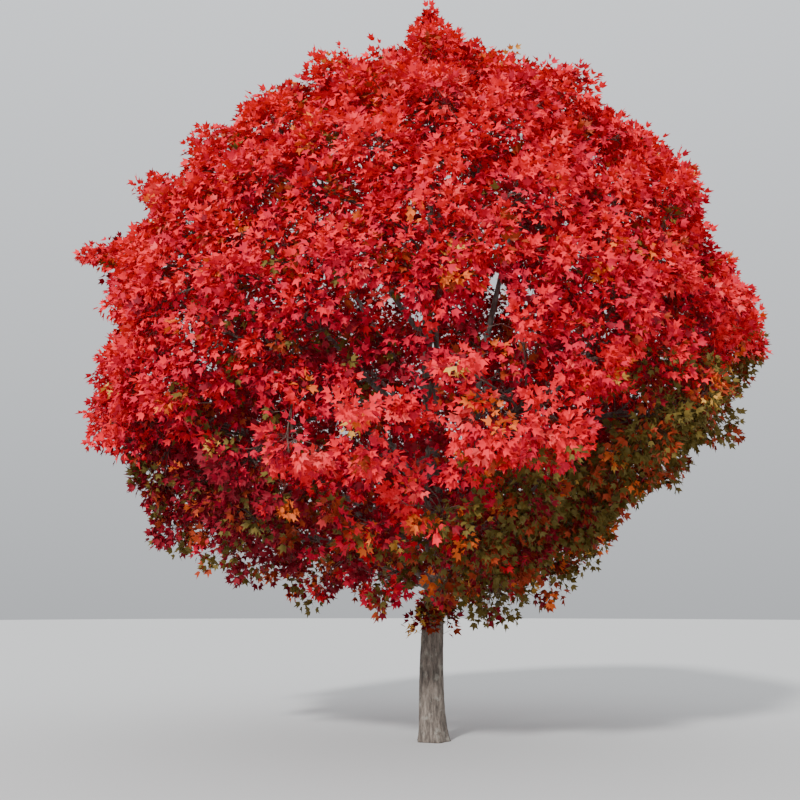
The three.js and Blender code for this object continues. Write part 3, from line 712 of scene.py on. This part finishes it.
def grow_leaves(shoots, out, rng):
    """The points of the leaves of every shoot: each leaf's outline, and its stalk's foot."""
    count = len(shoots)
    ahead = unit(shoots[:, -1] - shoots[:, -2])
    side = unit(np.cross(ahead, apart_from(ahead)))
    other = np.cross(ahead, side)
    first = rng.uniform(0, math.pi, count)
    u, v = LEAF_OUTLINE.T
    points = []
    for k in range(LEAVES_ON_SHOOT):
        last = k == LEAVES_ON_SHOOT - 1
        pair = k // 2
        turn = first + pair * math.pi / 2 + (k % 2) * math.pi + rng.uniform(-PAIR_TURN, PAIR_TURN, count)
        radial = side * np.cos(turn)[:, None] + other * np.sin(turn)[:, None]
        angle = rng.uniform(*(LAST_ANGLES if last else PAIR_ANGLES), count)
        stalk = unit(ahead * np.cos(angle)[:, None] + radial * np.sin(angle)[:, None])
        below = 0.0 if last else LAST_PAIR + PAIR_STEP * (LEAVES_ON_SHOOT // 2 - 1 - pair)
        node = shoots[:, -1] - ahead * below
        foot = node + stalk * rng.uniform(*STALK_LENGTHS, count)[:, None]
        lean = unit(stalk + rng.normal(0, LEAF_SCATTER, (count, 3)) - LEAF_HANG * UP)
        face = FACE_UP * UP + FACE_OUT * out + rng.normal(0, FACE_SCATTER, (count, 3))
        face = unit(face - lean * np.sum(face * lean, axis=1, keepdims=True))
        across = np.cross(face, lean)
        size = LEAF_LENGTH * rng.uniform(*LEAF_SIZES, count)
        fold = rng.uniform(*LEAF_FOLDS, count)
        droop = rng.uniform(*LEAF_DROOPS, count)
        lift = fold[:, None] * np.abs(v) - droop[:, None] * u ** 2
        blade = foot[:, None] + size[:, None, None] * (
            lean[:, None] * u[:, None] + across[:, None] * v[:, None] + face[:, None] * lift[..., None]
        )
        width = STALK_HALF_WIDTH * across
        points.append(np.concatenate([blade, (node - width)[:, None], (node + width)[:, None]], axis=1))
    return np.stack(points, axis=1)


def shoot_tints(ends, rng):
    """The tint of each shoot's spray, from where it is in the crown and in its puff: painted shade deep
    inside, at the crown's foot and on its lower sides, where their own olive and warmer tints mix in, and a
    painted highlight on the sunlit puffs and the lit right side.
    """
    tips, tone = ends["tips"], ends["tone"]
    x, y, z = tips.T
    patch = noise_at(tips, PATCH_SCALE, (7, 3, 1))
    drift = noise_at(tips, DRIFT_SCALE, (2, 5, 3))
    # Olive and painted shade on the lower right, fading towards the back
    under_edge = np.interp(x, *OLIVE_EDGE) - z + 0.9 * drift + 0.4 * patch
    right_shade = ramp(under_edge, *OLIVE_BELOW) * ramp(x, *OLIVE_RIGHT_OF)
    right_shade *= np.clip((OLIVE_BACK - y) / OLIVE_FADE + drift, LEAST_OLIVE, 1)
    left_shade = ramp(z - 0.5 * drift, *LEFT_SHADE_BELOW) * ramp(x, *LEFT_SHADE_LEFT_OF)
    # Painted shade at the crown's foot, with some of its own olive, orange and gold
    low = ramp(z - 0.3 * drift, *FOOT_BELOW)
    sunny = ramp(z, *SUN_ABOVE)
    # Painted shade: darker tints the deeper a spray lies, less so at the sunlit top
    inner = ramp(ends["depth"], *INNER_SHADE_DEPTHS) * (1 - 0.6 * sunny)
    # Painted highlight: the puffs' tone and the lit right side raise the scarlet and coral
    lit_side = ramp(x, *LIT_RIGHT_OF) * ramp(z, *LIT_ABOVE) * ramp(z, *LIT_BELOW)
    tone_and_highlight = np.clip(1.6 * tone - 0.6 + 0.35 * lit_side, 0, 1) * (1 - inner)
    at_trunk = ramp(np.hypot(x, y), *TRUNK_NEAR) * (z < TRUNK_BELOW)
    warm = np.zeros(len(tips))
    for azimuth, height, radius in WARM_PATCHES:
        middle = polar(crown_reach(height, math.radians(azimuth)), math.radians(azimuth), height)
        warm = np.maximum(warm, ramp(np.linalg.norm(tips - middle, axis=1), radius, radius / 2))
    orange = (patch > ORANGE_PATCH) * (1 - 0.5 * sunny)
    gold = (patch > GOLD_PATCH) * (1 - 0.5 * sunny)
    red = (1 - 0.94 * left_shade) * (1 - 0.95 * right_shade) * (1 - 0.60 * low) * (1 - 0.4 * warm)
    red *= 1 - 0.8 * at_trunk
    # How likely each tint is, next to the others; the maroon carries painted shade, and the coral a painted
    # highlight
    weights = {
        "shaded_maroon": 0.02 + 0.75 * inner ** 1.5 + 0.38 * low + 2.20 * left_shade,
        "crimson": (0.48 - 0.20 * tone_and_highlight) * red,
        "scarlet": (0.40 + 0.45 * tone_and_highlight - 0.30 * inner) * red,
        "coral_highlight": (0.02 + 0.16 * tone_and_highlight) * red,
        "orange": 0.012 + 0.16 * orange + 0.08 * low + 0.05 * right_shade + 0.30 * warm,
        "gold": 0.002 + 0.05 * gold + 0.04 * low + 0.03 * right_shade + 0.10 * warm + 0.35 * at_trunk,
        "rust": 0.01 + 0.12 * inner + 0.32 * low + 0.55 * right_shade + 0.60 * left_shade,
        "olive": 0.002 + 0.06 * inner + 0.38 * low + 1.70 * right_shade + 0.35 * left_shade,
    }
    table = np.clip(np.stack([weights[name] for name in TINT_NAMES], axis=1), 0, None)
    shares = np.cumsum(table / table.sum(axis=1, keepdims=True), axis=1)
    return (rng.uniform(0, 1, len(tips))[:, None] > shares).sum(axis=1)


# Pieces

def joined_piece(name, points, triangles, material, slot, nodes):
    """One piece from arrays of points and triangles."""
    mesh = bpy.data.meshes.new(name)
    mesh.vertices.add(len(points))
    mesh.vertices.foreach_set("co", np.ascontiguousarray(points, np.float32).ravel())
    mesh.loops.add(3 * len(triangles))
    mesh.loops.foreach_set("vertex_index", np.ascontiguousarray(triangles, np.int32).ravel())
    mesh.polygons.add(len(triangles))
    mesh.polygons.foreach_set("loop_start", np.arange(0, 3 * len(triangles), 3, dtype=np.int32))
    mesh.update(calc_edges=True)
    finish_piece(name, mesh, material, nodes)


def finish_piece(name, mesh, material, nodes):
    """The object of a mesh, with its finish, in place of the nodes that it stands for."""
    mesh.materials.append(material)
    piece = bpy.data.objects.new(name, mesh)
    bpy.context.collection.objects.link(piece)
    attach(piece, "root")
    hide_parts(*nodes)


def bark_height(point, scale, depth):
    """The height of the bark's relief at a point, whose last value is how far along the limb it lies."""
    x, y, along = point
    stretched = Vector((x * scale, y * scale, along * scale * BARK_STRETCH))
    plates = min(1 - FURROW_SHARPNESS * abs(noise.noise(stretched)), PLATE_TOP)
    grain = noise.noise(stretched * GRAIN_SCALE + Vector((5, 1, 2)))
    swell = noise.noise(Vector([value * scale for value, scale in zip(point, SLOW_SWELL)]))
    return depth * (PLATE_SHARE * plates + GRAIN_SHARE * grain + SWELL_SHARE * swell)


def bark_limb(name, material, node, sides, places):
    """A limb with its bark's relief: a ring at its foot, extruded from place to place up to its tip."""
    bm = bmesh.new()
    around = bm.verts.layers.int.new("around")
    ring = bmesh.ops.create_circle(bm, cap_ends=True, segments=sides, radius=1.0)["verts"]
    for number, vert in enumerate(ring):
        vert[around] = number
        vert.co = places(0, 2 * math.pi * number / sides)
    rim = bm.edges[:]
    for step in range(1, places.steps):
        grown = bmesh.ops.extrude_edge_only(bm, edges=rim)["geom"]
        ring = {item for item in grown if isinstance(item, bmesh.types.BMVert)}
        for vert in ring:
            vert.co = places(step, 2 * math.pi * vert[around] / sides)
        rim = [item for item in grown if isinstance(item, bmesh.types.BMEdge) and ring.issuperset(item.verts)]
    bmesh.ops.edgeloop_fill(bm, edges=rim)
    bmesh.ops.recalc_face_normals(bm, faces=bm.faces)
    mesh = bpy.data.meshes.new(name)
    bm.to_mesh(mesh)
    bm.free()
    for polygon in mesh.polygons:
        polygon.use_smooth = True
    finish_piece(name, mesh, material, [node])


class TrunkPlaces:
    """Places on the trunk's bark, by step and angle: level rings, closer together where the bark shows."""

    def __init__(self):
        low = np.linspace(0, TRUNK_SHOWN, TRUNK_LOW_RINGS)
        shares = np.linspace(0, 1, TRUNK_HIGH_RINGS)[1:] ** TRUNK_RING_SPREAD
        self.heights = np.concatenate([low, TRUNK_SHOWN + (TRUNK_TIP_HEIGHT - TRUNK_SHOWN) * shares])
        self.steps = len(self.heights)

    def __call__(self, step, angle):
        height = float(self.heights[step])
        centre = at_height(trunk_axis, height)
        radius = trunk_radius(height, angle)
        around = (radius * math.cos(angle), radius * math.sin(angle), height)
        share = min(1, max(LEAST_RELIEF, 1 - (height - RELIEF_FROM) * RELIEF_LOSS))
        radius += bark_height(around, TRUNK_FINENESS, TRUNK_RELIEF * share)
        return Vector((centre[0] + radius * math.cos(angle), centre[1] + radius * math.sin(angle), height))


class LimbPlaces:
    """Places on a limb's bark, by step and angle: rings across a curve, with a collar at its carrier."""

    def __init__(self, curve, radii, collar, depth):
        self.curve, self.radii, self.collar, self.depth = curve, radii, collar, depth
        self.steps = len(curve)
        along = unit(np.gradient(curve, axis=0))
        across = [unit(np.cross(apart_from(along[0]), along[0]))]
        for tangent in along[1:]:
            across.append(unit(across[-1] - tangent * np.dot(across[-1], tangent)))
        self.across = np.array(across)
        self.other = np.cross(along, self.across)
        self.lengths = steps_along(curve)

    def __call__(self, step, angle):
        radius = self.radii[step]
        flat = (radius * math.cos(angle), radius * math.sin(angle), self.lengths[step])
        radius *= 1 + COLLAR_SWELL * math.exp(-max(0, self.lengths[step] - self.collar) / COLLAR_FADE)
        radius += bark_height(flat, LIMB_FINENESS, self.depth * min(1, self.radii[step] / FULL_RELIEF_RADIUS))
        place = self.curve[step] + radius * (
            self.across[step] * math.cos(angle) + self.other[step] * math.sin(angle)
        )
        return Vector(place)


# Materials

# Colours of bark from the bottom of its furrows to its plates, and of the lichen on it
TRUNK_COLOURS = [
    (0.30, (0.035, 0.027, 0.022)),
    (0.46, (0.11, 0.088, 0.072)),
    (0.60, (0.22, 0.18, 0.148)),
    (0.75, (0.38, 0.32, 0.26)),
]
LIMB_COLOURS = [(0.30, (0.07, 0.055, 0.05)), (0.50, (0.17, 0.145, 0.13)), (0.72, (0.30, 0.27, 0.24))]
TWIG_COLOURS = [(0.30, (0.06, 0.03, 0.025)), (0.50, (0.12, 0.07, 0.055)), (0.72, (0.20, 0.13, 0.10))]
LICHEN_COLOUR = (0.46, 0.45, 0.38)
LICHEN_BLOOM = [(0.55, (0, 0, 0)), (0.72, (0.5, 0.5, 0.5))]  # how much of it shows


def new_material(name):
    """A new material, its nodes and links, and its shader."""
    material = bpy.data.materials.new(name)
    material.use_nodes = True
    tree = material.node_tree
    return material, tree.nodes, tree.links, tree.nodes["Principled BSDF"]


def noise_node(nodes, scale, detail, roughness=0.5):
    """A noise texture, finer with a larger scale."""
    node = nodes.new("ShaderNodeTexNoise")
    node.inputs["Scale"].default_value = scale
    node.inputs["Detail"].default_value = detail
    node.inputs["Roughness"].default_value = roughness
    return node


def ramp_node(nodes, stops):
    """A ramp of colours, from its lowest stop to its highest."""
    node = nodes.new("ShaderNodeValToRGB")
    elements = node.color_ramp.elements
    for element, (position, colour) in zip(elements, (stops[0], stops[-1])):
        element.position, element.color = position, (*colour, 1)
    for position, colour in stops[1:-1]:
        elements.new(position).color = (*colour, 1)
    return node


def add_bump(nodes, links, shader, texture, strength, distance):
    """A fine relief on a surface, from a texture."""
    bump = nodes.new("ShaderNodeBump")
    bump.inputs["Strength"].default_value = strength
    bump.inputs["Distance"].default_value = distance
    links.new(texture.outputs["Fac"], bump.inputs["Height"])
    links.new(bump.outputs["Normal"], shader.inputs["Normal"])


def leaf_material(name, colour):
    """Autumn leaf: one plain tint, with a fine ripple between its veins that shows in its gloss."""
    material, nodes, links, shader = new_material(f"leaf_{name}")
    shader.inputs["Base Color"].default_value = (*colour, 1)
    shader.inputs["Specular IOR Level"].default_value = 0.15
    coordinates = nodes.new("ShaderNodeTexCoord")
    ripple = noise_node(nodes, scale=90.0, detail=1.0)
    gloss = nodes.new("ShaderNodeMapRange")
    gloss.inputs["To Min"].default_value, gloss.inputs["To Max"].default_value = 0.45, 0.75
    links.new(coordinates.outputs["Object"], ripple.inputs["Vector"])
    links.new(ripple.outputs["Fac"], gloss.inputs["Value"])
    links.new(gloss.outputs["Result"], shader.inputs["Roughness"])
    add_bump(nodes, links, shader, ripple, strength=0.35, distance=0.003)
    return material


def bark_material(name, stops, scale, roughness):
    """Bark: pale plates with darker furrows drawn out along the limb, and a faint bloom of lichen."""
    material, nodes, links, shader = new_material(name)
    shader.inputs["Roughness"].default_value = roughness
    coordinates = nodes.new("ShaderNodeTexCoord")
    mapping = nodes.new("ShaderNodeMapping")
    mapping.inputs["Scale"].default_value = (scale, scale, scale * BARK_STRETCH)
    streaks = noise_node(nodes, scale=1.0, detail=9.0, roughness=0.70)
    blotches = noise_node(nodes, scale=7.0, detail=7.0, roughness=0.65)
    wood = ramp_node(nodes, stops)
    bloom = ramp_node(nodes, LICHEN_BLOOM)
    mix = nodes.new("ShaderNodeMix")
    mix.data_type = "RGBA"
    mix.inputs["B"].default_value = (*LICHEN_COLOUR, 1)
    links.new(coordinates.outputs["Object"], mapping.inputs["Vector"])
    links.new(mapping.outputs["Vector"], streaks.inputs["Vector"])
    links.new(coordinates.outputs["Object"], blotches.inputs["Vector"])
    links.new(streaks.outputs["Fac"], wood.inputs["Fac"])
    links.new(blotches.outputs["Fac"], bloom.inputs["Fac"])
    links.new(bloom.outputs["Color"], mix.inputs["Factor"])
    links.new(wood.outputs["Color"], mix.inputs["A"])
    links.new(mix.outputs["Result"], shader.inputs["Base Color"])
    add_bump(nodes, links, shader, streaks, strength=0.75, distance=0.004)
    return material


trunk_bark = bark_material("trunk_bark", TRUNK_COLOURS, scale=26, roughness=0.9)
limb_bark = bark_material("limb_bark", LIMB_COLOURS, scale=30, roughness=0.85)
twig_bark = bark_material("twig_bark", TWIG_COLOURS, scale=60, roughness=0.8)
leaf_materials = {name: leaf_material(name, colour) for name, colour in LEAF_TINTS.items()}


# The tree

def main_limb(number):
    """A mass's main limb, along its bough and on to its hub, its foot's radius and its collar's length."""
    name, hub, bough = masses[number]["name"], find_hub(number), []
    if name == "top":
        start, heading, foot_radius, collar = trunk_axis[-1], UP, TRUNK_TIP_RADIUS, NO_COLLAR
    elif name == ON_STEM_TIP:
        start, heading = stem_axis[-1], unit(stem_axis[-1] - stem_axis[-6])
        foot_radius, collar = STEM_TIP_RADIUS, NO_COLLAR
    else:
        bough, foot_radius, collar = bough_path(number)
        start, heading = bough[-1], unit(bough[-1] - bough[-2])
    knee = start + heading * np.linalg.norm(hub - start) * LIMB_KNEE
    onward = bent(start + heading * LIMB_GAP, knee, hub)
    return spaced(np.array([*bough, *onward]), LIMB_RINGS), foot_radius, collar


bark_limb("trunk_with_bark", trunk_bark, "trunk", TRUNK_SIDES, TrunkPlaces())

stem_curve = spaced(stem_axis, STEM_RINGS)
stem_radii = np.array([stem_radius(point[2]) for point in stem_curve])
stem_places = LimbPlaces(stem_curve, stem_radii, STEM_COLLAR, STEM_RELIEF)
bark_limb("second_stem_with_bark", limb_bark, "second_stem", STEM_SIDES, stem_places)

main_curves = []
for number, mass in enumerate(masses):
    curve, foot_radius, collar = main_limb(number)
    main_curves.append(curve)
    radii = foot_radius + (LIMB_END_RADIUS - foot_radius) * np.linspace(0, 1, LIMB_RINGS) ** LIMB_TAPER
    bough, foliage = f"bough_{mass['name']}", f"foliage_{mass['name']}"
    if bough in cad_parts:
        places = LimbPlaces(curve, radii, collar, BOUGH_RELIEF)
        bark_limb(f"{bough}_with_bark", limb_bark, bough, BOUGH_SIDES, places)
    else:
        places = LimbPlaces(curve, radii, collar, LEADER_RELIEF)
        bark_limb(f"leader_{mass['name']}", limb_bark, foliage, LEADER_SIDES, places)

# Branches grow on the main limbs, twigs on branches, and shoots on twigs, with the sprigs beside them
foliage_nodes = [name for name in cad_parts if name.startswith("foliage_")]
curves, owner = np.array(main_curves), np.arange(len(masses))
for name, outer, inner, points, back, foot_radius, tip_radius, sides in GROWTH:
    ends = place_both(outer, inner, rng)
    curves = grow(curves, owner, ends["tips"], ends["owner"], points, back)
    owner = ends["owner"]
    if name == "shoots":
        near = np.linalg.norm(curves[:, -1] - curves[:, 0], axis=1) < LONGEST_SHOOT
        sprigs, sprig_ends = trunk_sprigs(rng)
        curves = np.concatenate([curves[near], sprigs])
        ends = {key: np.concatenate([value[near], sprig_ends[key]]) for key, value in ends.items()}
    wood = tubes(curves, foot_radius, tip_radius, sides)
    joined_piece(name, *wood, twig_bark, "bough_bark", foliage_nodes)

leaves = grow_leaves(curves, ends["out"], rng)
tints = shoot_tints(ends, rng)
most_shoots = MOST_TRIANGLES // (LEAVES_ON_SHOOT * len(LEAF_FACES))
for tint, name in enumerate(TINT_NAMES):
    own = leaves[tints == tint]
    slot = "shade_leaves" if name in SHADE_TINTS else "red_leaves"
    for number, start in enumerate(range(0, len(own), most_shoots), 1):
        points = own[start:start + most_shoots].reshape(-1, 3)
        triangles = (LEAF_FACES + np.arange(0, len(points), LEAF_POINTS)[:, None, None]).reshape(-1, 3)
        joined_piece(f"leaves_{name}_{number}", points, triangles, leaf_materials[name], slot, foliage_nodes)


# Studio

FLOOR_RADIUS, FLOOR_SIDES = 70, 96
FLOOR_COLOUR = (0.58, 0.58, 0.57)
KEY_WAY = (0.32, 0.78, -0.52)  # the way that its light goes
KEY_STRENGTH = 3.9
KEY_SOFTNESS = math.radians(6)
SKY_COLOUR = (0.90, 0.93, 0.97)
SKY_RISE, SKY_STRENGTHS = (-0.1, 0.8), (0.55, 1.35)  # from under the horizon to high up
CAMERA_PLACE = (-0.373, -12.38, 1.6)
CAMERA_PITCH = math.radians(10.63)  # above level
CAMERA_LENS, SENSOR_WIDTH = 47.25, 36  # mm


def make_floor():
    """A wide pale floor under the trunk's cut."""
    bm = bmesh.new()
    bmesh.ops.create_circle(bm, cap_ends=True, segments=FLOOR_SIDES, radius=FLOOR_RADIUS)
    mesh = bpy.data.meshes.new("floor")
    bm.to_mesh(mesh)
    bm.free()
    material, _, _, shader = new_material("pale_floor")
    shader.inputs["Roughness"].default_value = 0.9
    shader.inputs["Base Color"].default_value = (*FLOOR_COLOUR, 1)
    mesh.materials.append(material)
    floor = bpy.data.objects.new("floor", mesh)
    bpy.context.collection.objects.link(floor)


def make_light():
    """One soft key light over the viewer's left shoulder, and a pale sky that is brighter high up."""
    key = bpy.data.lights.new("key", "SUN")
    key.energy = KEY_STRENGTH
    key.angle = KEY_SOFTNESS
    lamp = bpy.data.objects.new("key", key)
    lamp.rotation_euler = Vector(KEY_WAY).to_track_quat("-Z", "Y").to_euler()
    bpy.context.collection.objects.link(lamp)
    world = bpy.data.worlds.new("studio")
    world.use_nodes = True
    nodes, links = world.node_tree.nodes, world.node_tree.links
    coordinates = nodes.new("ShaderNodeTexCoord")
    separate = nodes.new("ShaderNodeSeparateXYZ")
    rise = nodes.new("ShaderNodeMapRange")
    rise.inputs["From Min"].default_value, rise.inputs["From Max"].default_value = SKY_RISE
    rise.inputs["To Min"].default_value, rise.inputs["To Max"].default_value = SKY_STRENGTHS
    links.new(coordinates.outputs["Generated"], separate.inputs["Vector"])
    links.new(separate.outputs["Z"], rise.inputs["Value"])
    links.new(rise.outputs["Result"], nodes["Background"].inputs["Strength"])
    nodes["Background"].inputs["Color"].default_value = (*SKY_COLOUR, 1)
    bpy.context.scene.world = world


def make_camera():
    """The viewer's eye, standing in front of the tree."""
    camera = bpy.data.cameras.new("camera")
    camera.lens = CAMERA_LENS
    camera.sensor_width = SENSOR_WIDTH
    eye = bpy.data.objects.new("camera", camera)
    eye.location = CAMERA_PLACE
    eye.rotation_euler = (math.pi / 2 + CAMERA_PITCH, 0, 0)
    bpy.context.collection.objects.link(eye)
    bpy.context.scene.camera = eye


make_floor()
make_light()
make_camera()
